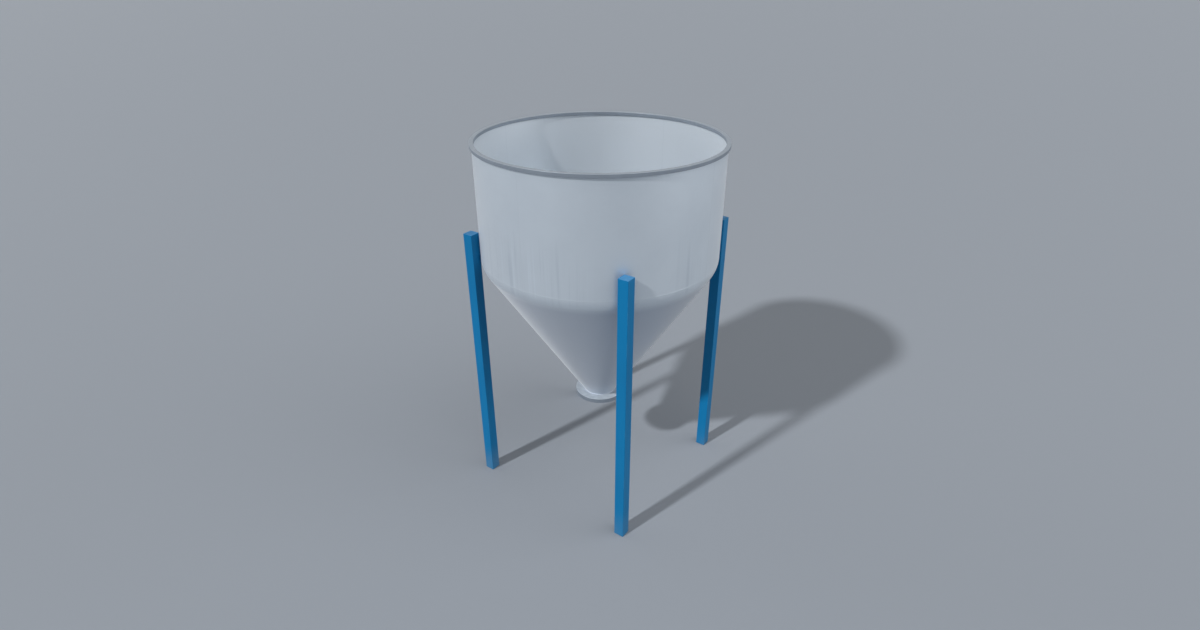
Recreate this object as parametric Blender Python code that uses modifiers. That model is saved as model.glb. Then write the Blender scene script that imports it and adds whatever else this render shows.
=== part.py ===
"""Pellet hopper: an open-topped round steel bin with a conical bottom, on four square tube legs.

Metres, +Z up. The origin is on the floor, under the middle of the outlet, and the hopper's axis is Z.
The legs stand on the diagonals, so each quarter of the shell is named for the leg it is welded to.
"""

import math

import bmesh
import bpy

HEIGHT = 2.830
DRUM_RADIUS = 0.900
PLATE = 0.004

RIM_WIDTH = 0.032
RIM_DEPTH = 0.025

# The wall and the cone would meet at this height if the knuckle between them were sharp.
BREAK_HEIGHT = 1.938
KNUCKLE_RADIUS = 0.150
KNUCKLE_STEPS = 6

FLANGE_TOP = 0.730
FLANGE_THICKNESS = 0.036
FLANGE_RADIUS = 0.2025
OUTLET_RADIUS = 0.125
CONE_FOOT_RADIUS = 0.130

LEG_SIDE = 0.080
LEG_CORNER = 0.003
LEG_WALL = 0.004
LEG_INNER_CORNER = 0.001
LEG_TOP = 2.175
CAP_THICKNESS = 0.005
FOOT_THICKNESS = 0.008
CORNER_STEPS = 3

WELD_SIZE = 0.010
WELD_END_MARGIN = 0.008

SEAT_GAP = 0.0003
RING_GAP = 0.0005
QUARTER_STEPS = 24
FLANGE_STEPS = 64

# Each quarter runs anticlockwise from this angle about Z, in degrees, and its leg stands at its middle.
QUARTERS = {
    "back_right": 0,
    "back_left": 90,
    "front_left": 180,
    "front_right": 270,
}

CONE_ANGLE = math.atan2(DRUM_RADIUS - CONE_FOOT_RADIUS, BREAK_HEIGHT - FLANGE_TOP)
KNUCKLE_TOP = BREAK_HEIGHT + KNUCKLE_RADIUS * math.tan(CONE_ANGLE / 2)
RIM_UNDERSIDE = HEIGHT - RIM_DEPTH
LEG_TIP = (LEG_SIDE / 2 - LEG_CORNER) * math.sqrt(2) + LEG_CORNER
LEG_REACH = DRUM_RADIUS + SEAT_GAP + LEG_TIP


def clear_scene():
    for obj in list(bpy.data.objects):
        bpy.data.objects.remove(obj, do_unlink=True)


def make_collection(name):
    collection = bpy.data.collections.new(name)
    bpy.context.scene.collection.children.link(collection)
    return collection


def make_material(name, colour, roughness, metallic):
    material = bpy.data.materials.new(name)
    material.use_nodes = True
    shader = material.node_tree.nodes["Principled BSDF"]
    shader.inputs["Base Color"].default_value = (*colour, 1.0)
    shader.inputs["Roughness"].default_value = roughness
    shader.inputs["Metallic"].default_value = metallic
    return material


def place(name, data, material, location=(0, 0, 0), turn=0.0):
    """Put a mesh or curve in the hopper's collection, turned about Z by an angle in radians."""
    obj = bpy.data.objects.new(name, data)
    obj.location = location
    obj.rotation_euler = (0, 0, turn)
    data.materials.append(material)
    HOPPER.objects.link(obj)
    return obj


def profile_mesh(name, points, closed=False):
    """A wire profile of (radius, height) points in the XZ plane."""
    outline = bmesh.new()
    verts = [outline.verts.new((radius, 0, height)) for radius, height in points]
    for first, second in zip(verts, verts[1:]):
        outline.edges.new((first, second))
    if closed:
        outline.edges.new((verts[-1], verts[0]))
    mesh = bpy.data.meshes.new(name)
    outline.to_mesh(mesh)
    outline.free()
    return mesh


def turn_profile(obj, angle, steps):
    screw = obj.modifiers.new("Turn", "SCREW")
    screw.angle = angle
    screw.steps = steps
    screw.render_steps = steps
    screw.use_merge_vertices = True
    screw.merge_threshold = 0.0001
    screw.use_smooth_shade = True


def thicken(obj, thickness):
    """Give an open surface its thickness, on the side that its faces point away from."""
    solidify = obj.modifiers.new("Thickness", "SOLIDIFY")
    solidify.thickness = thickness
    solidify.offset = -1
    solidify.use_even_offset = True


def make_quarter_block(side, start):
    """A block over one quarter of the hopper, short of the seams by half their gap."""
    size = 1.2 * DRUM_RADIUS
    mesh = bpy.data.meshes.new(f"quarter_block_{side}")
    block = bmesh.new()
    bmesh.ops.create_cube(block, size=1)
    bmesh.ops.translate(block, vec=(0.5, 0.5, 0.5), verts=block.verts)
    bmesh.ops.scale(block, vec=(size, size, 1.2 * HEIGHT), verts=block.verts)
    bmesh.ops.translate(block, vec=(SEAT_GAP / 2, SEAT_GAP / 2, 0), verts=block.verts)
    block.to_mesh(mesh)
    block.free()
    cutter = bpy.data.objects.new(mesh.name, mesh)
    cutter.rotation_euler = (0, 0, math.radians(start))
    cutter.hide_render = True
    cutter.display_type = "WIRE"
    CUTTERS.objects.link(cutter)
    return cutter


def make_quarters(piece, points, thickness, material):
    """Four like pieces of a ring, each a quarter turn of the same open profile, trimmed at its seams."""
    for side, start in QUARTERS.items():
        name = f"{piece}_{side}"
        obj = place(name, profile_mesh(name, points), material, turn=math.radians(start))
        turn_profile(obj, math.pi / 2, QUARTER_STEPS)
        thicken(obj, thickness)
        trim = obj.modifiers.new("Seams", "BOOLEAN")
        trim.operation = "INTERSECT"
        trim.object = QUARTER_BLOCKS[side]


def make_rim():
    """The rolled bar round the mouth, centred on the wall and so proud of it inside and out."""
    outer = DRUM_RADIUS + RIM_WIDTH / 2
    inner = outer - RIM_WIDTH
    make_quarters("rim", [(inner, HEIGHT), (outer, HEIGHT)], RIM_DEPTH, RIM_STEEL)


def make_drum():
    """The straight wall of rolled plate, from under the rim down to the knuckle."""
    top = RIM_UNDERSIDE - SEAT_GAP
    wall = [(DRUM_RADIUS, top), (DRUM_RADIUS, KNUCKLE_TOP + RING_GAP / 2)]
    make_quarters("drum_plate", wall, PLATE, SHELL_STEEL)


def knuckle_point(angle):
    """A point of the outer face, at this angle down from the level of the arc's centre."""
    centre = DRUM_RADIUS - KNUCKLE_RADIUS
    return (
        centre + KNUCKLE_RADIUS * math.cos(angle),
        KNUCKLE_TOP - KNUCKLE_RADIUS * math.sin(angle),
    )


def make_knuckle():
    """The rounded fold between the wall and the cone, which leaves no ledge for pellets."""
    margin = RING_GAP / 2 / KNUCKLE_RADIUS
    span = CONE_ANGLE - 2 * margin
    arc = [knuckle_point(margin + span * step / KNUCKLE_STEPS) for step in range(KNUCKLE_STEPS + 1)]
    make_quarters("knuckle", arc, PLATE, SHELL_STEEL)


def make_cone():
    """The cone's gores, which slope from the knuckle down to the outlet flange."""
    radius, height = knuckle_point(CONE_ANGLE)
    top = (
        radius - RING_GAP / 2 * math.sin(CONE_ANGLE),
        height - RING_GAP / 2 * math.cos(CONE_ANGLE),
    )
    foot = (CONE_FOOT_RADIUS, FLANGE_TOP + SEAT_GAP)
    make_quarters("cone_gore", [top, foot], PLATE, SHELL_STEEL)


def make_outlet_flange():
    """The thick flat ring that the cone ends on, with the outlet through its middle."""
    bottom = FLANGE_TOP - FLANGE_THICKNESS
    section = [
        (OUTLET_RADIUS, FLANGE_TOP),
        (FLANGE_RADIUS, FLANGE_TOP),
        (FLANGE_RADIUS, bottom),
        (OUTLET_RADIUS, bottom),
    ]
    name = "outlet_flange"
    obj = place(name, profile_mesh(name, section, closed=True), RIM_STEEL)
    turn_profile(obj, math.tau, FLANGE_STEPS)


def rounded_square(side, corner):
    """The points of a square outline with round corners, anticlockwise."""
    offset = side / 2 - corner
    points = []
    for quarter in range(4):
        middle = math.pi / 4 + quarter * math.pi / 2
        centre_x = math.copysign(offset, math.cos(middle))
        centre_y = math.copysign(offset, math.sin(middle))
        for step in range(CORNER_STEPS + 1):
            angle = quarter * math.pi / 2 + step / CORNER_STEPS * math.pi / 2
            points.append((centre_x + corner * math.cos(angle), centre_y + corner * math.sin(angle)))
    return points


def extruded_outline(name, outlines, bottom, top):
    """A flat outline, with any others inside it as holes, and half its thickness as the extrusion."""
    curve = bpy.data.curves.new(name, "CURVE")
    curve.dimensions = "2D"
    curve.fill_mode = "BOTH"
    curve.extrude = (top - bottom) / 2
    for outline in outlines:
        spline = curve.splines.new("POLY")
        spline.points.add(len(outline) - 1)
        for point, (x, y) in zip(spline.points, outline):
            point.co = (x, y, 0, 1)
        spline.use_cyclic_u = True
    return curve


def make_leg(side, start):
    """A square tube with a closing plate at each end, one round corner against the drum's wall."""
    turn = math.radians(start + 45)
    x, y = LEG_REACH * math.cos(turn), LEG_REACH * math.sin(turn)
    outside = rounded_square(LEG_SIDE, LEG_CORNER)
    inside = rounded_square(LEG_SIDE - 2 * LEG_WALL, LEG_INNER_CORNER)
    tube_bottom = FOOT_THICKNESS + SEAT_GAP
    tube_top = LEG_TOP - CAP_THICKNESS - SEAT_GAP
    pieces = {
        f"leg_{side}": ([outside, inside], tube_bottom, tube_top),
        f"leg_cap_{side}": ([outside], LEG_TOP - CAP_THICKNESS, LEG_TOP),
        f"foot_plate_{side}": ([outside], 0, FOOT_THICKNESS),
    }
    for name, (outlines, bottom, top) in pieces.items():
        curve = extruded_outline(name, outlines, bottom, top)
        place(name, curve, LEG_PAINT, (x, y, (bottom + top) / 2))


def make_leg_welds(side, start):
    """The fillet welds in the two wedges between a leg's corner and the drum, painted with the leg.

    They run along the drum's wall. In this outline X runs outwards from the hopper's axis through the leg, and Y along the wall.
    """
    face_start = LEG_CORNER * math.sin(math.pi / 4)
    face_x = DRUM_RADIUS + SEAT_GAP + LEG_CORNER - face_start
    seat = SEAT_GAP * math.sqrt(2)
    reach = face_start + WELD_SIZE

    def wall_x(across):
        return math.sqrt(DRUM_RADIUS**2 - across**2) + SEAT_GAP

    outline = [
        (wall_x(face_start), face_start),
        (wall_x(reach), reach),
        (face_x + WELD_SIZE, face_start + WELD_SIZE + seat),
        (face_x, face_start + seat),
    ]
    bottom = KNUCKLE_TOP + WELD_END_MARGIN
    top = LEG_TOP - CAP_THICKNESS - WELD_END_MARGIN
    middle = (0, 0, (bottom + top) / 2)
    for hand, mirrored in (("left", outline), ("right", [(x, -y) for x, y in reversed(outline)])):
        name = f"leg_weld_{side}_{hand}"
        curve = extruded_outline(name, [mirrored], bottom, top)
        place(name, curve, LEG_PAINT, middle, math.radians(start + 45))


clear_scene()
HOPPER = make_collection("pellet_hopper")
CUTTERS = make_collection("cutters")
QUARTER_BLOCKS = {side: make_quarter_block(side, start) for side, start in QUARTERS.items()}
SHELL_STEEL = make_material("shell_steel", (0.42, 0.46, 0.49), 0.45, 0.6)
RIM_STEEL = make_material("rim_steel", (0.26, 0.29, 0.33), 0.45, 0.6)
LEG_PAINT = make_material("leg_paint", (0.011, 0.162, 0.368), 0.4, 0.0)

make_rim()
make_drum()
make_knuckle()
make_cone()
make_outlet_flange()
for leg_side, quarter_start in QUARTERS.items():
    make_leg(leg_side, quarter_start)
    make_leg_welds(leg_side, quarter_start)
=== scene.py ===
"""Looks of the pellet hopper: an open steel bin with a conical bottom, on four blue tube legs.

Metres, +Z up. The hopper's axis is Z, and its four legs stand on the diagonals between X and Y.
"""

import math

import bpy
import numpy as np
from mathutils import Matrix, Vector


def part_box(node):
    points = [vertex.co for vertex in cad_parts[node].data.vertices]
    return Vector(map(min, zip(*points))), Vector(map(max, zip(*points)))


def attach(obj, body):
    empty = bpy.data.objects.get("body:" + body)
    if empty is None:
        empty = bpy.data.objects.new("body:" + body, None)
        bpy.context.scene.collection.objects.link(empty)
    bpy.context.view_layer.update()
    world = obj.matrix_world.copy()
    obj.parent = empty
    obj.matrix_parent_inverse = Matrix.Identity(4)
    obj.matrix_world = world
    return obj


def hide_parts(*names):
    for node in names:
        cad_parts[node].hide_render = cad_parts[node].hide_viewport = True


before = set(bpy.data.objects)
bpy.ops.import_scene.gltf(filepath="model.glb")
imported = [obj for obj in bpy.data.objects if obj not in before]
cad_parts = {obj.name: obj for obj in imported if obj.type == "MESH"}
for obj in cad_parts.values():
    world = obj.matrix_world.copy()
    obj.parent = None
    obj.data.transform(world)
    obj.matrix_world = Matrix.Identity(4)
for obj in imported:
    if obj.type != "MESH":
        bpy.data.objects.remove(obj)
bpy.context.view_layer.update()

# Drum plates
# The straight wall is four plates of 4 mm steel, rolled to the drum's radius and butt welded.
# Rolling leaves them very slightly wavy, and rain has left faint vertical marks on the satin finish.
SIDES = {"back_right": 0, "back_left": 90, "front_left": 180, "front_right": 270}
PLATE = 0.004
SEAM_GAP = 0.0003
QUARTER_STATIONS = 61
WALL_ROWS = 36
ROLLING_WAVES = ((5, 2.1, 0.4), (9, -3.7, 1.9), (14, 5.3, 3.1), (23, 1.2, 5.2))
ROLLING_DEPTH = 0.0001
RUN_BUNCHES = ((-88, 27), (-12, 7), (38, 6), (118, 14), (171, 9), (214, 12))
drum_low, drum_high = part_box("drum_plate_back_right")
DRUM_RADIUS = drum_high.x


def swept_mesh(name, grid, closed_path=False):
    """A closed mesh over a grid of points (stations, section points, 3).

    Each section is a loop, so its last point joins its first, and it turns clockwise when it is seen
    against the path. A closed path joins its ends, and an open one gets a face at either end.
    """
    stations, around = grid.shape[:2]
    index = np.arange(stations * around).reshape(stations, around)
    here = index if closed_path else index[:-1]
    ahead = np.roll(index, -1, axis=0) if closed_path else index[1:]
    sides = np.stack([here, np.roll(here, -1, axis=1), np.roll(ahead, -1, axis=1), ahead], axis=-1)
    ends = [] if closed_path else [index[0, ::-1].tolist(), index[-1].tolist()]
    mesh = bpy.data.meshes.new(name)
    mesh.from_pydata(grid.reshape(-1, 3).tolist(), [], sides.reshape(-1, 4).tolist() + ends)
    return mesh


def store(mesh, name, values):
    """One number or one vector for each point of the mesh, for its material to read."""
    kind, field = ("FLOAT", "value") if values.ndim == 1 else ("FLOAT_VECTOR", "vector")
    attribute = mesh.attributes.new(name, kind, "POINT")
    attribute.data.foreach_set(field, values.astype(np.float32).ravel())


def finish_piece(mesh, material, slot, *replaced):
    """The object of a finished mesh, shaded smooth, riding on the hopper's one body."""
    mesh.shade_smooth()
    mesh.set_sharp_from_angle(angle=math.radians(35))
    mesh.materials.append(material)
    piece = bpy.data.objects.new(mesh.name, mesh)
    bpy.context.scene.collection.objects.link(piece)
    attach(piece, "root")
    if replaced:
        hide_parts(*replaced)


def inward_normals(outer):
    """Unit vectors across a profile of (radius, height) that runs down, towards the hopper's inside."""
    run = np.gradient(outer, axis=0)
    run /= np.linalg.norm(run, axis=1, keepdims=True)
    return np.stack([run[:, 1], -run[:, 0]], axis=1)


def plate_section(outer):
    """The loop round a plate's thickness: its outer face down, then its inner face back up."""
    return np.concatenate([outer, (outer + PLATE * inward_normals(outer))[::-1]])


def rolled(radius, angle, height):
    """A radius with the rolling waves: long sine waves round the hopper, each turned with height."""
    waves = sum(np.sin(turns * angle + lean * height + start) for turns, lean, start in ROLLING_WAVES)
    return radius * (1 + ROLLING_DEPTH * waves / DRUM_RADIUS)


def turned_grid(section, angles):
    """Points of a section of (radius, height) carried round Z through these angles, with its waves."""
    angle = angles[:, None]
    radius, height = np.broadcast_to(section, (len(angles), *section.shape[-2:])).transpose(2, 0, 1)
    radius = rolled(radius, angle, height)
    return np.stack([radius * np.cos(angle), radius * np.sin(angle), height], axis=-1)


def quarter_angles(start, radius):
    """The stations of one quarter turn, short of its seams by half their gap at this radius."""
    margin = SEAM_GAP / 2 / radius
    return math.radians(start) + np.linspace(margin, math.pi / 2 - margin, QUARTER_STATIONS)


def store_sheet(mesh, angles, section, down=0.0):
    """Where each point lies on the sheet, in metres: round the drum, down its face, and its height.

    A second number says how much rain runs down there: a sum of bell curves over the angle. A third is
    0 on the outer face and 1 on the inner one.
    """
    half = len(section) // 2
    steps = np.linalg.norm(np.diff(section[:half], axis=0), axis=1)
    along = down + np.concatenate([[0], np.cumsum(steps)])
    along = np.concatenate([along, along[::-1]])
    place = np.broadcast_arrays(angles[:, None] * DRUM_RADIUS, along[None, :], section[None, :, 1])
    store(mesh, "sheet_metres", np.stack(place, axis=-1).reshape(-1, 3))
    turned = np.degrees(angles)[:, None]
    off = [(turned - middle + 180) % 360 - 180 for middle, _ in RUN_BUNCHES]
    bells = sum(np.exp(-((away / spread) ** 2)) for away, (_, spread) in zip(off, RUN_BUNCHES))
    store(mesh, "rain_share", np.broadcast_to(bells, (len(angles), len(section))).ravel())
    store(mesh, "inside", np.tile(np.repeat([0, 1], half), len(angles)))


def node_of(tree, kind, inputs, **settings):
    """A shader node with these settings. Each input is set to a value, or linked from a socket."""
    made = tree.nodes.new(kind)
    for key, value in settings.items():
        setattr(made, key, value)
    for key, value in inputs.items():
        if isinstance(value, bpy.types.NodeSocket):
            tree.links.new(value, made.inputs[key])
        else:
            made.inputs[key].default_value = value
    return made


def math_of(tree, operation, *values):
    return node_of(tree, "ShaderNodeMath", dict(enumerate(values)), operation=operation).outputs[0]


def eased(tree, value, low, high):
    """0 at low, 1 at high and a smooth step between them."""
    inputs = {"Value": value, 1: low, 2: high}
    return node_of(tree, "ShaderNodeMapRange", inputs, interpolation_type="SMOOTHSTEP").outputs[0]


def noise(tree, vector, stretch, detail=3.0):
    """Noise with this many grains to the metre along each axis."""
    scaled = node_of(tree, "ShaderNodeMapping", {"Vector": vector, "Scale": stretch}).outputs[0]
    inputs = {"Vector": scaled, "Scale": 1.0, "Detail": detail, "Roughness": 0.55}
    return node_of(tree, "ShaderNodeTexNoise", inputs).outputs[0]


def tinted(tree, colour, tint, share):
    """A colour mixed towards a tint by a share that changes over the surface."""
    colour, tint = ((*part, 1.0) if isinstance(part, tuple) else part for part in (colour, tint))
    return node_of(tree, "ShaderNodeMix", {0: share, 6: colour, 7: tint}, data_type="RGBA").outputs[2]


def attribute_of(tree, name, output):
    return node_of(tree, "ShaderNodeAttribute", {}, attribute_name=name).outputs[output]


def effect_group(name, inputs, outputs):
    """A shader node group with these named sockets, and the ends of its tree to build between."""
    tree = bpy.data.node_groups.new(name, "ShaderNodeTree")
    for label, kind in inputs.items():
        tree.interface.new_socket(label, in_out="INPUT", socket_type=kind)
    for label in outputs:
        tree.interface.new_socket(label, in_out="OUTPUT", socket_type="NodeSocketFloat")
    return tree, tree.nodes.new("NodeGroupInput").outputs, tree.nodes.new("NodeGroupOutput").inputs


def make_rolled_grain():
    """The finish of rolled and brushed steel: broad clouds, the brush's long scratches, and height."""
    inputs = {"Place": "NodeSocketVector"}
    tree, given, result = effect_group("rolled_grain", inputs, ["Clouds", "Scratches", "Height"])
    clouds = noise(tree, given["Place"], (3.1, 2.3, 2.3), 4.0)
    scratches = noise(tree, given["Place"], (420, 9, 9), 2.0)
    pits = noise(tree, given["Place"], (360, 360, 360), 2.0)
    tree.links.new(clouds, result["Clouds"])
    tree.links.new(scratches, result["Scratches"])
    tree.links.new(math_of(tree, "ADD", scratches, pits), result["Height"])
    return tree


def make_rain_runs():
    """Marks that rain leaves down a wall: narrow upright stripes, each from its own height down.

    They fade out on the fold below the wall, where the water drips off.
    """
    inputs = {"Sheet": "NodeSocketVector", "Share": "NodeSocketFloat", "Start": "NodeSocketFloat"}
    tree, given, result = effect_group("rain_runs", inputs, ["Dark", "Light"])
    stripes = noise(tree, given["Sheet"], (34, 0.5, 0), 3.0)
    starts = noise(tree, given["Sheet"], (19, 0, 0), 2.0)
    down = node_of(tree, "ShaderNodeSeparateXYZ", {0: given["Sheet"]}).outputs[1]
    first = math_of(tree, "MULTIPLY_ADD", starts, 0.5, given["Start"])
    reach = eased(tree, down, first, math_of(tree, "ADD", first, 0.30))
    reach = math_of(tree, "MULTIPLY", reach, eased(tree, down, 0.95, 0.80))
    reach = math_of(tree, "MULTIPLY", reach, given["Share"])
    tree.links.new(math_of(tree, "MULTIPLY", eased(tree, stripes, 0.53, 0.66), reach), result["Dark"])
    tree.links.new(math_of(tree, "MULTIPLY", eased(tree, stripes, 0.45, 0.32), reach), result["Light"])
    return tree


def new_material(name, **constants):
    """A material with its Principled shader, whose even values are set on the shader's own sockets."""
    material = bpy.data.materials.new(name)
    material.use_nodes = True
    shader = material.node_tree.nodes["Principled BSDF"]
    for key, value in constants.items():
        shader.inputs[key.replace("_", " ")].default_value = value
    return material, material.node_tree, shader.inputs


def grain_of(tree, place):
    return node_of(tree, "ShaderNodeGroup", {"Place": place}, node_tree=ROLLED_GRAIN).outputs


def bump_of(tree, height, strength, depth):
    inputs = {"Height": height, "Strength": strength, "Distance": depth}
    return node_of(tree, "ShaderNodeBump", inputs).outputs[0]


def make_shell_steel():
    """Satin light grey steel, palest on the wall, and rubbed to one even tone by pellets inside. Outside,
    the knuckle and cone are darker: painted shade for faces that look down.
    """
    material, tree, shader = new_material("shell_steel", Sheen_Weight=0.4, Sheen_Roughness=0.4)
    sheet = attribute_of(tree, "sheet_metres", "Vector")
    inside = attribute_of(tree, "inside", "Fac")
    grain = grain_of(tree, sheet)
    share = math_of(tree, "SUBTRACT", attribute_of(tree, "rain_share", "Fac"), inside)
    runs = {"Sheet": sheet, "Share": share, "Start": 0.12}
    runs = node_of(tree, "ShaderNodeGroup", runs, node_tree=RAIN_RUNS).outputs
    cloudy = math_of(tree, "MULTIPLY", eased(tree, grain["Clouds"], 0.35, 0.7), 0.16)
    height = node_of(tree, "ShaderNodeSeparateXYZ", {0: sheet}).outputs[2]
    # Painted shade: below 1.85 to 1.93 m the knuckle and cone take a darker tone, standing in for the shade
    # on faces that look down.
    base = tinted(tree, (0.463, 0.52, 0.602), (0.62, 0.685, 0.75), eased(tree, height, 1.85, 1.93))
    base = tinted(tree, base, (0.48, 0.54, 0.61), cloudy)
    base = tinted(tree, base, (0.41, 0.48, 0.56), math_of(tree, "MULTIPLY", runs["Dark"], 0.32))
    base = tinted(tree, base, (0.70, 0.78, 0.86), math_of(tree, "MULTIPLY", runs["Light"], 0.32))
    base = tinted(tree, base, (0.60, 0.65, 0.70), inside)
    tree.links.new(base, shader["Base Color"])
    tree.links.new(math_of(tree, "MULTIPLY_ADD", inside, -0.15, 0.75), shader["Metallic"])
    tree.links.new(math_of(tree, "MULTIPLY_ADD", grain["Scratches"], 0.16, 0.36), shader["Roughness"])
    tree.links.new(bump_of(tree, grain["Height"], 0.08, 0.0006), shader["Normal"])
    return material


ROLLED_GRAIN = make_rolled_grain()
RAIN_RUNS = make_rain_runs()
SHELL_STEEL = make_shell_steel()

wall_heights = np.linspace(drum_high.z, drum_low.z, WALL_ROWS)
wall_face = np.stack([np.full(WALL_ROWS, DRUM_RADIUS), wall_heights], axis=1)
wall_section = plate_section(wall_face)
for side, start in SIDES.items():
    angles = quarter_angles(start, DRUM_RADIUS)
    mesh = swept_mesh(f"{side}_drum_plate", turned_grid(wall_section, angles))
    store_sheet(mesh, angles, wall_section)
    finish_piece(mesh, SHELL_STEEL, "shell_steel", f"drum_plate_{side}")

# Knuckle
# The fold between wall and cone is a pressed ring of the same plate, rounded so that nothing lodges.
# Its four lengths are welded to the wall above and the cone below, and the welds are ground.
KNUCKLE_RADIUS = 0.150
KNUCKLE_ROWS = 17
RING_GAP = 0.0005
CONE_FOOT_RADIUS = 0.130
BREAK_HEIGHT = 1.938
cone_low, cone_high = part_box("cone_gore_back_right")
CONE_ANGLE = math.atan2(DRUM_RADIUS - CONE_FOOT_RADIUS, BREAK_HEIGHT - cone_low.z)
KNUCKLE_TOP = drum_low.z - RING_GAP / 2
WALL_DEPTH = drum_high.z - drum_low.z


def knuckle_face(turns):
    """Points of the knuckle's outer face at these angles down from the level of its arc's centre."""
    radius = DRUM_RADIUS - KNUCKLE_RADIUS + KNUCKLE_RADIUS * np.cos(turns)
    return np.stack([radius, KNUCKLE_TOP - KNUCKLE_RADIUS * np.sin(turns)], axis=-1)


knuckle_margin = RING_GAP / 2 / KNUCKLE_RADIUS
fold_face = knuckle_face(np.linspace(knuckle_margin, CONE_ANGLE - knuckle_margin, KNUCKLE_ROWS))
fold_section = plate_section(fold_face)
for side, start in SIDES.items():
    angles = quarter_angles(start, DRUM_RADIUS)
    mesh = swept_mesh(f"{side}_knuckle", turned_grid(fold_section, angles))
    store_sheet(mesh, angles, fold_section, WALL_DEPTH)
    finish_piece(mesh, SHELL_STEEL, "shell_steel", f"knuckle_{side}")

# Cone gores
# Four gores of the same plate, rolled to the cone and butt welded along their slopes.
# They run down to the outlet flange, steep enough for pellets to slide.
CONE_ROWS = 48
cone_run = np.array([-math.sin(CONE_ANGLE), -math.cos(CONE_ANGLE)])
cone_start = knuckle_face(np.array([CONE_ANGLE]))[0] + cone_run * RING_GAP / 2
cone_foot = np.array([CONE_FOOT_RADIUS, cone_low.z])
cone_face = cone_start + np.linspace(0, 1, CONE_ROWS)[:, None] * (cone_foot - cone_start)
cone_section = plate_section(cone_face)
for side, start in SIDES.items():
    angles = quarter_angles(start, CONE_FOOT_RADIUS)
    mesh = swept_mesh(f"{side}_cone_gore", turned_grid(cone_section, angles))
    store_sheet(mesh, angles, cone_section, WALL_DEPTH + KNUCKLE_RADIUS * CONE_ANGLE)
    finish_piece(mesh, SHELL_STEEL, "shell_steel", f"cone_gore_{side}")

# Shell welds
# Butt welds go right through the plate: one down each of the four seams, and a ring above and below
# the knuckle. Both faces are ground nearly flush, so that only a low crown is left.
SEAM_WIDTH = 0.010
CROWN = 0.0004
CROWN_POINTS = 9
RING_STATIONS = 360


def crown_loop():
    """A butt weld's section as (across, outwards) points: its outer crown, then its inner one back.

    Each crown is a parabola that stands proud in the middle and sinks into the plate at its toes.
    """
    across = np.linspace(-1, 1, CROWN_POINTS)
    crown = CROWN * (1 - 2 * across**2)
    outer = np.stack([across * SEAM_WIDTH / 2, crown], axis=1)
    inner = np.stack([across * SEAM_WIDTH / 2, -PLATE - crown], axis=1)
    return np.concatenate([outer, inner[::-1]])


def make_weld_steel(name, shade, roughness):
    """Weld metal with short cross scratches, toned as the plate with its painted shade below the wall, then
    darkened by a share of grey.
    """
    material, tree, shader = new_material(name, Sheen_Weight=0.4, Sheen_Roughness=0.4)
    place = node_of(tree, "ShaderNodeTexCoord", {}).outputs["Object"]
    inside = attribute_of(tree, "inside", "Fac")
    blotches = noise(tree, place, (60, 60, 60), 2.0)
    scratches = noise(tree, place, (700, 700, 120), 2.0)
    height = node_of(tree, "ShaderNodeSeparateXYZ", {0: place}).outputs[2]
    # Painted shade as on the plates: darker below 1.85 to 1.93 m, on the knuckle and cone.
    base = tinted(tree, (0.463, 0.52, 0.602), (0.62, 0.685, 0.75), eased(tree, height, 1.85, 1.93))
    base = tinted(tree, base, (0.60, 0.65, 0.70), inside)
    shade = math_of(tree, "MULTIPLY_ADD", blotches, 0.2, shade)
    base = tinted(tree, base, (0.36, 0.41, 0.47), shade)
    tree.links.new(base, shader["Base Color"])
    tree.links.new(math_of(tree, "MULTIPLY_ADD", inside, -0.15, 0.75), shader["Metallic"])
    tree.links.new(math_of(tree, "MULTIPLY_ADD", scratches, 0.2, roughness), shader["Roughness"])
    tree.links.new(bump_of(tree, scratches, 0.1, 0.0004), shader["Normal"])
    return material


GROUND_WELD = make_weld_steel("ground_weld", 0.0, 0.34)
across, outwards = crown_loop().T
seam_face = np.concatenate([wall_face, fold_face, cone_face])
seam_in = inward_normals(seam_face)
for side, start in SIDES.items():
    turn = math.radians(start)
    radius = seam_face[:, None, 0] - outwards * seam_in[:, None, 0]
    height = seam_face[:, None, 1] - outwards * seam_in[:, None, 1]
    radius = rolled(radius, turn, height)
    x = radius * math.cos(turn) + across * math.sin(turn)
    y = radius * math.sin(turn) - across * math.cos(turn)
    mesh = swept_mesh(f"{side}_seam_weld", np.stack([x, y, height], axis=-1))
    store(mesh, "inside", np.tile(np.repeat([0, 1], CROWN_POINTS), len(seam_face)))
    finish_piece(mesh, GROUND_WELD, "shell_steel")

full_turn = np.linspace(0, math.tau, RING_STATIONS, endpoint=False)
for name, lean in (("wall", 0.0), ("cone", CONE_ANGLE)):
    joint = knuckle_face(np.array([lean]))
    out = np.array([math.cos(lean), -math.sin(lean)])
    down = np.array([-math.sin(lean), -math.cos(lean)])
    section = joint + across[:, None] * down + outwards[:, None] * out
    mesh = swept_mesh(f"{name}_ring_weld", turned_grid(section, full_turn), closed_path=True)
    store(mesh, "inside", np.tile(np.repeat([0, 1], CROWN_POINTS), RING_STATIONS))
    finish_piece(mesh, GROUND_WELD, "shell_steel")

# Rim
# The mouth is stiffened by a 32 by 25 mm bar, rolled in four lengths and set on the wall's top edge.
# It is mid grey with eased corners, and a rippled fillet weld holds it below on either side.
RIM_CORNER = 0.002
CORNER_POINTS = 5
RIM_WIDTH = 0.032
RIM_WELD = 0.005
WELD_PITCH = 0.006
BEAD_POINTS = 7
rim_low, rim_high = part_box("rim_back_right")


def with_hold_points(loop, distance=0.0006):
    """A loop with two more points on each long flat, near its ends, so that smooth shading keeps it flat."""
    ahead = np.roll(loop, -1, axis=0) - loop
    length = np.linalg.norm(ahead, axis=1, keepdims=True)
    share = distance / length
    points = np.stack([loop, loop + share * ahead, loop + (1 - share) * ahead], axis=1)
    kept = np.repeat(length > 6 * distance, 3, axis=1)
    kept[:, 0] = True
    return points[kept]


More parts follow.
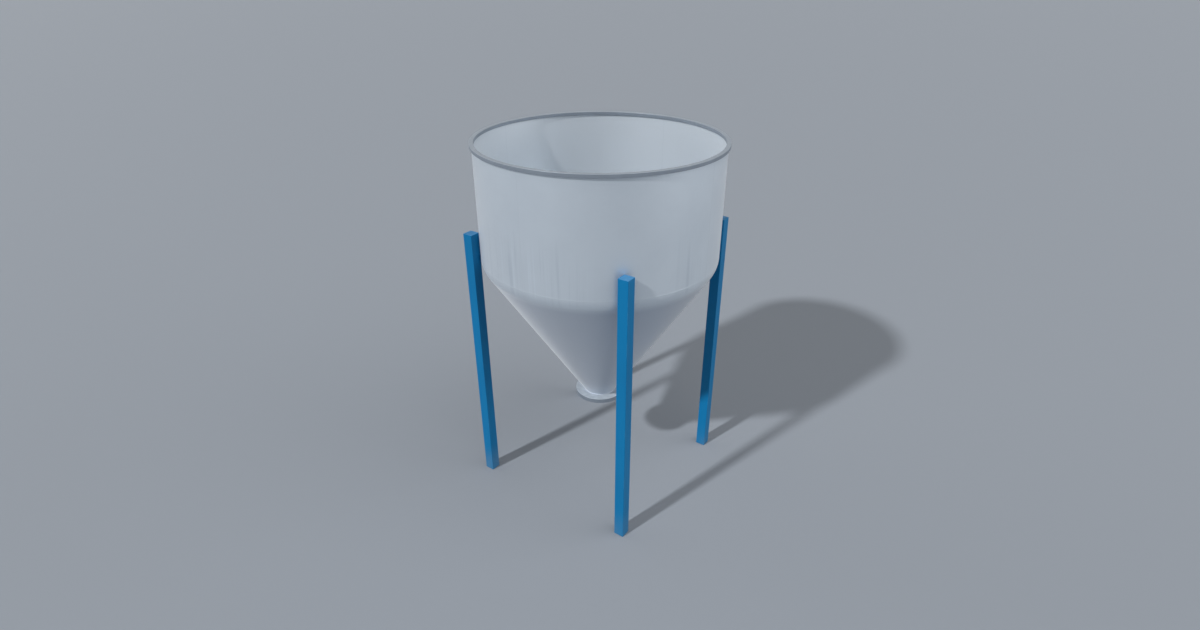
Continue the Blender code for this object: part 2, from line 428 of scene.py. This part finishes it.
def bar_section(inner, outer, bottom, top, corner):
    """A rectangle with round corners, from the middle of its inner side over the top and back below."""
    turn = np.linspace(0, math.pi / 2, CORNER_POINTS)
    rise, fall = np.sin(turn), np.cos(turn)
    radius = np.concatenate([inner + corner - corner * fall, outer - corner + corner * rise])
    height = np.concatenate([top - corner + corner * rise, top - corner + corner * fall])
    upper = np.stack([radius, height], axis=1)
    return with_hold_points(np.concatenate([upper, upper[::-1] * (1, -1) + (0, top + bottom)]))


def fillet_bead(root, first, second, along):
    """In-plane points (stations, section points, 2) of a weld bead in a corner, at distances along it.

    Its face runs from one toe to the other, bowed outwards. Ripples lift it by a cosine of the distance,
    and lag towards the toes, as they do where a puddle sets from its edges.
    """
    share = np.linspace(0, 1, BEAD_POINTS)[:, None]
    bow = 1 + 0.5 * share * (1 - share)
    face = bow * ((1 - share) * first + share * second)
    lag = 3.0 * (2 * share[:, 0] - 1) ** 2
    ripple = 1 + 0.05 * np.cos(math.tau * along[:, None] / WELD_PITCH + lag)
    bead = root + ripple[..., None] * face
    sunk = root - 0.1 * (first + second)
    return np.concatenate([bead, np.broadcast_to(sunk, (len(along), 1, 2))], axis=1)


def make_dust_and_painted_top_light():
    """Painted top light with pale plastic dusting on faces that look up: the height of the surface's normal,
    thinned by noise.
    """
    tree, given, result = effect_group("dust_and_painted_top_light", {"Scale": "NodeSocketFloat"}, ["Dust"])
    point = tree.nodes.new("ShaderNodeTexCoord").outputs
    rise = node_of(tree, "ShaderNodeSeparateXYZ", {0: point["Normal"]}).outputs[2]
    inputs = {"Vector": point["Object"], "Scale": given["Scale"], "Detail": 4.0}
    patches = node_of(tree, "ShaderNodeTexNoise", inputs).outputs[0]
    thickness = math_of(tree, "MULTIPLY_ADD", eased(tree, patches, 0.3, 0.7), 0.3, 0.7)
    tree.links.new(math_of(tree, "MULTIPLY", eased(tree, rise, 0.4, 0.95), thickness), result["Dust"])
    return tree


def dust_and_top_light_of(tree, scale):
    return node_of(tree, "ShaderNodeGroup", {"Scale": scale}, node_tree=DUST_AND_PAINTED_TOP_LIGHT).outputs["Dust"]


def make_bar_steel(name, dust_and_top_light_share):
    """Mid grey steel with a soft mill grain and slightly rubbed tone, and a share of dusting and painted top
    light on faces that look up.
    """
    material, tree, shader = new_material(name)
    place = node_of(tree, "ShaderNodeTexCoord", {}).outputs["Object"]
    grain = grain_of(tree, place)
    rubbed = math_of(tree, "MULTIPLY", eased(tree, noise(tree, place, (7, 7, 7)), 0.4, 0.7), 0.4)
    base = tinted(tree, (0.22, 0.256, 0.303), (0.265, 0.307, 0.36), rubbed)
    # Painted top light with dusting: faces that look up are paler and less metallic.
    dust_and_top_light = math_of(tree, "MULTIPLY", dust_and_top_light_of(tree, 30.0), dust_and_top_light_share)
    tree.links.new(tinted(tree, base, (0.36, 0.405, 0.45), dust_and_top_light), shader["Base Color"])
    tree.links.new(math_of(tree, "MULTIPLY_ADD", dust_and_top_light, -0.4, 0.5), shader["Metallic"])
    tree.links.new(math_of(tree, "MULTIPLY_ADD", grain["Clouds"], 0.15, 0.36), shader["Roughness"])
    tree.links.new(bump_of(tree, grain["Height"], 0.08, 0.0005), shader["Normal"])
    return material


DUST_AND_PAINTED_TOP_LIGHT = make_dust_and_painted_top_light()
RIM_STEEL = make_bar_steel("rim_steel", 0.4)
LAID_WELD = make_weld_steel("laid_weld", 0.2, 0.5)
RIM_OUTER = rim_high.x
rim_section = bar_section(RIM_OUTER - RIM_WIDTH, RIM_OUTER, rim_low.z, rim_high.z, RIM_CORNER)
for side, start in SIDES.items():
    angles = quarter_angles(start, RIM_OUTER)
    angle, (radius, height) = angles[:, None], rim_section.T
    grid = np.stack([radius * np.cos(angle), radius * np.sin(angle), height + 0 * angle], axis=-1)
    finish_piece(swept_mesh(f"{side}_rim", grid), RIM_STEEL, "rim_steel", f"rim_{side}")

weld_turn = np.linspace(0, math.tau, round(4 * math.tau * DRUM_RADIUS / WELD_PITCH), endpoint=False)
weld_along = weld_turn * round(DRUM_RADIUS * math.tau / WELD_PITCH) * WELD_PITCH / math.tau
for name, radius, out in (("outer", DRUM_RADIUS, 1), ("inner", DRUM_RADIUS - PLATE, -1)):
    toes = [np.array([out * RIM_WELD, 0]), np.array([0, -RIM_WELD])][::out]
    bead = fillet_bead(np.array([radius, rim_low.z]), *toes, weld_along)
    mesh = swept_mesh(f"{name}_rim_weld", turned_grid(bead, weld_turn), closed_path=True)
    store(mesh, "inside", np.full(len(mesh.vertices), float(name == "inner")))
    finish_piece(mesh, LAID_WELD, "shell_steel")

# Outlet flange
# A plain machined ring, 405 mm across and 36 mm thick, that the cone stands on and is welded to.
# It has no bolt holes: what hangs below is clamped to it.
FLANGE_STATIONS = 192
FLANGE_CORNER = 0.0015
OUTLET_RADIUS = 0.125
FLANGE_WELD = 0.005
flange_low, flange_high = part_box("outlet_flange")
section = bar_section(OUTLET_RADIUS, flange_high.x, flange_low.z, flange_high.z, FLANGE_CORNER)
angle = np.linspace(0, math.tau, FLANGE_STATIONS, endpoint=False)[:, None]
radius, height = section.T
grid = np.stack([radius * np.cos(angle), radius * np.sin(angle), height + 0 * angle], axis=-1)
mesh = swept_mesh("outlet_ring", grid, closed_path=True)
# The flange takes the full share of dusting and painted top light, which also lightens its top against the
# shade it sits in below the cone.
finish_piece(mesh, make_bar_steel("flange_steel", 1.0), "rim_steel", "outlet_flange")

ripples = round(CONE_FOOT_RADIUS * math.tau / WELD_PITCH)
weld_turn = np.linspace(0, math.tau, 6 * ripples, endpoint=False)
toes = (-FLANGE_WELD * cone_run, np.array([FLANGE_WELD, 0]))
bead = fillet_bead(cone_foot, *toes, weld_turn * ripples * WELD_PITCH / math.tau)
mesh = swept_mesh("outlet_weld", turned_grid(bead, weld_turn), closed_path=True)
finish_piece(mesh, LAID_WELD, "shell_steel")

# Legs
# Each leg is a square tube, 80 by 80 by 4 mm with tight corners, one corner against the drum.
# They are painted blue in a semi-gloss coat, rubbed thin on the corners and dusty near the floor.
LEG_CORNER = 0.003
LEG_INNER_CORNER = 0.001
LEG_WALL = 0.004
TUBE_CORNER_POINTS = 9
TUBE_ROWS = 24
tube_low, tube_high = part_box("leg_front_right")
LEG_SIDE = tube_high.x - tube_low.x


def square_outline(side_length, corner):
    """Points round a square with round corners, anticlockwise, as (x, y) from its middle."""
    turn = np.linspace(0, math.pi / 2, TUBE_CORNER_POINTS)
    quarter = np.arange(4)[:, None] * math.pi / 2
    offset = (side_length / 2 - corner) * math.sqrt(2)
    x = offset * np.cos(quarter + math.pi / 4) + corner * np.cos(quarter + turn)
    y = offset * np.sin(quarter + math.pi / 4) + corner * np.sin(quarter + turn)
    return with_hold_points(np.stack([x.ravel(), y.ravel()], axis=1))


def make_leg_paint():
    """Blue semi-gloss paint with orange peel. It thins at corners, it is dusty near the floor, and its tops
    are lightened by a little dusting and painted top light.
    """
    material, tree, shader = new_material("leg_paint", Specular_IOR_Level=0.14)
    place = node_of(tree, "ShaderNodeTexCoord", {}).outputs["Object"]
    clouds = noise(tree, place, (4, 4, 1.6))
    thin = eased(tree, noise(tree, place, (40, 40, 9)), 0.52, 0.72)
    thin = math_of(tree, "MULTIPLY", thin, attribute_of(tree, "corner", "Fac"))
    base = tinted(tree, (0.003, 0.135, 0.31), (0.003, 0.124, 0.288), eased(tree, clouds, 0.4, 0.7))
    base = tinted(tree, base, (0.09, 0.26, 0.42), math_of(tree, "MULTIPLY", thin, 0.5))
    height = node_of(tree, "ShaderNodeSeparateXYZ", {0: place}).outputs[2]
    dust_and_top_light = math_of(tree, "MULTIPLY", eased(tree, height, 0.28, 0.0), eased(tree, clouds, 0.3, 0.8))
    dust_and_top_light = math_of(tree, "MULTIPLY", dust_and_top_light, 0.3)
    base = tinted(tree, base, (0.20, 0.24, 0.26), dust_and_top_light)
    # Painted top light with a little dusting: the tops of caps and tubes are paler.
    dust_and_top_light = math_of(tree, "MULTIPLY", dust_and_top_light_of(tree, 60.0), 0.12)
    tree.links.new(tinted(tree, base, (0.30, 0.34, 0.38), dust_and_top_light), shader["Base Color"])
    tree.links.new(math_of(tree, "MULTIPLY_ADD", clouds, 0.16, 0.32), shader["Roughness"])
    peel = noise(tree, place, (320, 320, 320), 2.0)
    tree.links.new(bump_of(tree, peel, 0.06, 0.0004), shader["Normal"])
    return material


LEG_PAINT = make_leg_paint()
tube_outside = square_outline(LEG_SIDE, LEG_CORNER)
tube_inside = square_outline(LEG_SIDE - 2 * LEG_WALL, LEG_INNER_CORNER)
corner_share = (1 - (LEG_SIDE / 2 - np.abs(tube_outside)).max(axis=1) / LEG_CORNER).clip(0, 1)
for side in SIDES:
    low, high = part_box(f"leg_{side}")
    rows = np.linspace(high.z, low.z, TUBE_ROWS)
    outside = np.repeat(tube_outside[:, None, :], TUBE_ROWS, axis=1)
    inside = np.repeat(tube_inside[:, None, :], TUBE_ROWS, axis=1)
    flat = np.concatenate([outside, inside], axis=1) + np.array((low + high) / 2)[:2]
    heights = np.broadcast_to(np.concatenate([rows, rows[::-1]]), flat.shape[:2])
    mesh = swept_mesh(f"{side}_leg", np.concatenate([flat, heights[..., None]], axis=-1), closed_path=True)
    store(mesh, "corner", np.repeat(corner_share, 2 * TUBE_ROWS))
    finish_piece(mesh, LEG_PAINT, "leg_paint", f"leg_{side}")

# Leg caps and foot plates
# A 5 mm plate closes the top of each tube and an 8 mm plate its foot, both welded on and painted over.
# Their outer edges are eased, and the low weld between plate and tube is ground smooth.
PLATE_EASE = 0.0012
JOINT_CROWN = 0.0003
JOINT_HALF_WIDTH = 0.003


def end_plate_levels(joint, face):
    """Levels up or down a tube's end plate, as (height, inset): a low weld over its joint, then its face.

    The weld is a parabola over the joint. The face's edge is a quarter circle.
    """
    away = math.copysign(1, face - joint)
    share = np.linspace(-1, 1, CROWN_POINTS)
    weld = np.stack([joint + share * JOINT_HALF_WIDTH, JOINT_CROWN * (2 * share**2 - 1)], axis=1)
    turn = np.linspace(0, math.pi / 2, CORNER_POINTS)
    rise = face - away * PLATE_EASE * (1 - np.sin(turn))
    ease = np.stack([rise, PLATE_EASE * (1 - np.cos(turn))], axis=1)
    hold = [(face, 2 * PLATE_EASE)]
    return np.concatenate([weld[:: int(away)], ease, hold])[:: int(away)]


for side in SIDES:
    for kind, tube_end in (("leg_cap", "top"), ("foot_plate", "foot")):
        low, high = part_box(f"{kind}_{side}")
        joint, face = (low.z, high.z) if tube_end == "top" else (high.z, low.z)
        levels = end_plate_levels(joint, face)
        outlines = [square_outline(LEG_SIDE - 2 * inset, LEG_CORNER - inset) for _, inset in levels]
        flat = np.stack(outlines) + np.array((low + high) / 2)[:2]
        heights = np.broadcast_to(levels[:, :1], flat.shape[:2])
        mesh = swept_mesh(f"{side}_{tube_end}_plate", np.concatenate([flat, heights[..., None]], axis=-1))
        store(mesh, "corner", np.tile(corner_share, len(levels)))
        finish_piece(mesh, LEG_PAINT, "leg_paint", f"{kind}_{side}")

# Leg welds
# A rippled fillet weld fills the wedge on either side of each leg's corner and joins it to the wall.
# It stops short of the leg's top and the knuckle, and it is painted over with the leg.
weld_low, weld_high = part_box("leg_weld_front_right_left")
LEG_WELD = 0.010
WELD_TAPER = 0.006
face_start = LEG_CORNER * math.sin(math.pi / 4)
face_x = DRUM_RADIUS + LEG_CORNER - face_start
wall_toe = face_start + LEG_WELD
root = np.array([math.sqrt(DRUM_RADIUS**2 - face_start**2), face_start])
wall_reach = np.array([math.sqrt(DRUM_RADIUS**2 - wall_toe**2), wall_toe]) - root
leg_reach = np.array([face_x + LEG_WELD, wall_toe]) - root
length = weld_high.z - weld_low.z
along = np.linspace(0, length, 6 * round(length / WELD_PITCH))
bead = fillet_bead(root, leg_reach, wall_reach, along)
from_end = np.minimum(along, length - along).clip(0, WELD_TAPER) / WELD_TAPER
swell = 0.25 + 0.75 * np.sqrt(1 - (1 - from_end) ** 2)
bead = root + swell[:, None, None] * (bead - root)
heights = np.broadcast_to((weld_low.z + along)[:, None], bead.shape[:2])
for side, start in SIDES.items():
    turn = math.radians(start + 45)
    for hand, mirror in (("left", 1), ("right", -1)):
        outward, sideways = bead[..., 0], mirror * bead[..., 1]
        x = outward * math.cos(turn) - sideways * math.sin(turn)
        y = outward * math.sin(turn) + sideways * math.cos(turn)
        grid = np.stack([x, y, heights], axis=-1)[:, ::mirror]
        mesh = swept_mesh(f"{side}_{hand}_leg_weld", grid)
        finish_piece(mesh, LEG_PAINT, "leg_paint", f"leg_weld_{side}_{hand}")

# Floor, light and camera
# A plain pale floor, a soft key light from the front left, broad panels above and on either side,
# an even white room, and the photograph's view.
FLOOR_REACH = 150.0
MIDDLE = (0.0, 0.0, 1.411)
CAMERA_DISTANCE = 5.430
material, tree, shader = new_material("floor", Roughness=0.9)
shader["Base Color"].default_value = (0.190, 0.211, 0.240, 1)
corners = np.array([(-1, -1, 0), (1, -1, 0), (1, 1, 0), (-1, 1, 0)]) * FLOOR_REACH
floor_mesh = bpy.data.meshes.new("floor")
floor_mesh.from_pydata(corners.tolist(), [], [(0, 1, 2, 3)])
floor_mesh.materials.append(material)
floor = bpy.data.objects.new("floor", floor_mesh)
bpy.context.scene.collection.objects.link(floor)

world = bpy.data.worlds.new("studio")
world.use_nodes = True
room = world.node_tree.nodes["Background"].inputs
room["Color"].default_value = (1, 1, 1, 1)
room["Strength"].default_value = 0.34
bpy.context.scene.world = world


def view_direction(azimuth, elevation):
    """The unit vector from the hopper towards a viewer. Azimuth 0 is in front, and 90 to the right."""
    turn, lift = math.radians(azimuth), math.radians(elevation)
    return np.array([math.sin(turn) * math.cos(lift), -math.cos(turn) * math.cos(lift), math.sin(lift)])


def aim(name, data, direction, distance):
    """A lamp or camera that looks at the hopper's middle from a direction and distance."""
    thing = bpy.data.objects.new(name, data)
    thing.location = MIDDLE + distance * direction
    thing.rotation_euler = Vector(direction).to_track_quat("Z", "Y").to_euler()
    bpy.context.scene.collection.objects.link(thing)
    return thing


LAMPS = {
    "key": (-14.9, 39.8, 3, 3.2),
    "top": (85, 58, 60, 1.2),
    "right_panel": (120, 4, 60, 1.7),
    "left_panel": (-80, 10, 60, 0.8),
}
for name, (azimuth, elevation, breadth, energy) in LAMPS.items():
    lamp = bpy.data.lights.new(name, "SUN")
    lamp.energy = energy
    lamp.angle = math.radians(breadth)
    aim(name, lamp, view_direction(azimuth, elevation), 8.0)

camera = bpy.data.cameras.new("camera")
camera.sensor_fit = "VERTICAL"
camera.angle = math.radians(50)
camera.clip_end = 500
bpy.context.scene.camera = aim("camera", camera, view_direction(35, 28), CAMERA_DISTANCE)
bpy.context.scene.view_settings.view_transform = "Standard"
